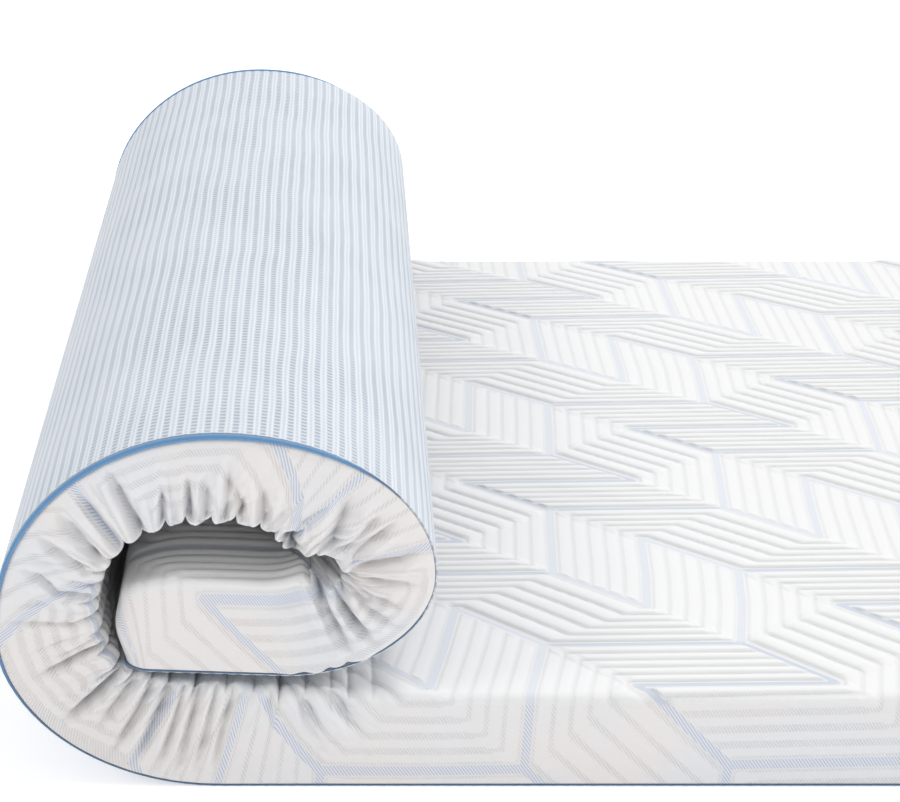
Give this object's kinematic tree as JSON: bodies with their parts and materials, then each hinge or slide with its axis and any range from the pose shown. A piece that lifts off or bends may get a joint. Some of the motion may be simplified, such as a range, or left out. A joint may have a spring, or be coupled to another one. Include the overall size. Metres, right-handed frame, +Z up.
{
  "type": "mattress topper",
  "caption": "Padded mattress topper in a ribbed knit cover, lying flat with one end rolled up over itself, with a striped mesh underside and a piped lower edge.",
  "frame": {"origin": "on the surface the topper lies on, under the middle of its bounding box", "axes": "+X along the topper from the rolled end to the flat end, +Y along the roll away from the viewer, +Z up"},
  "size_m": [1.1136, 0.9946, 0.285],
  "materials": {
    "knit_cover": "soft white ribbed double knit with pale blue bands",
    "striped_mesh": "open dotted spacer mesh in fine light blue and white stripes",
    "blue_piping": "smooth woven cord piping"
  },
  "bodies": {
    "root": {"topper_body": "knit_cover", "underside_panel": "striped_mesh", "edge_piping": "blue_piping"}
  },
  "joints": []
}
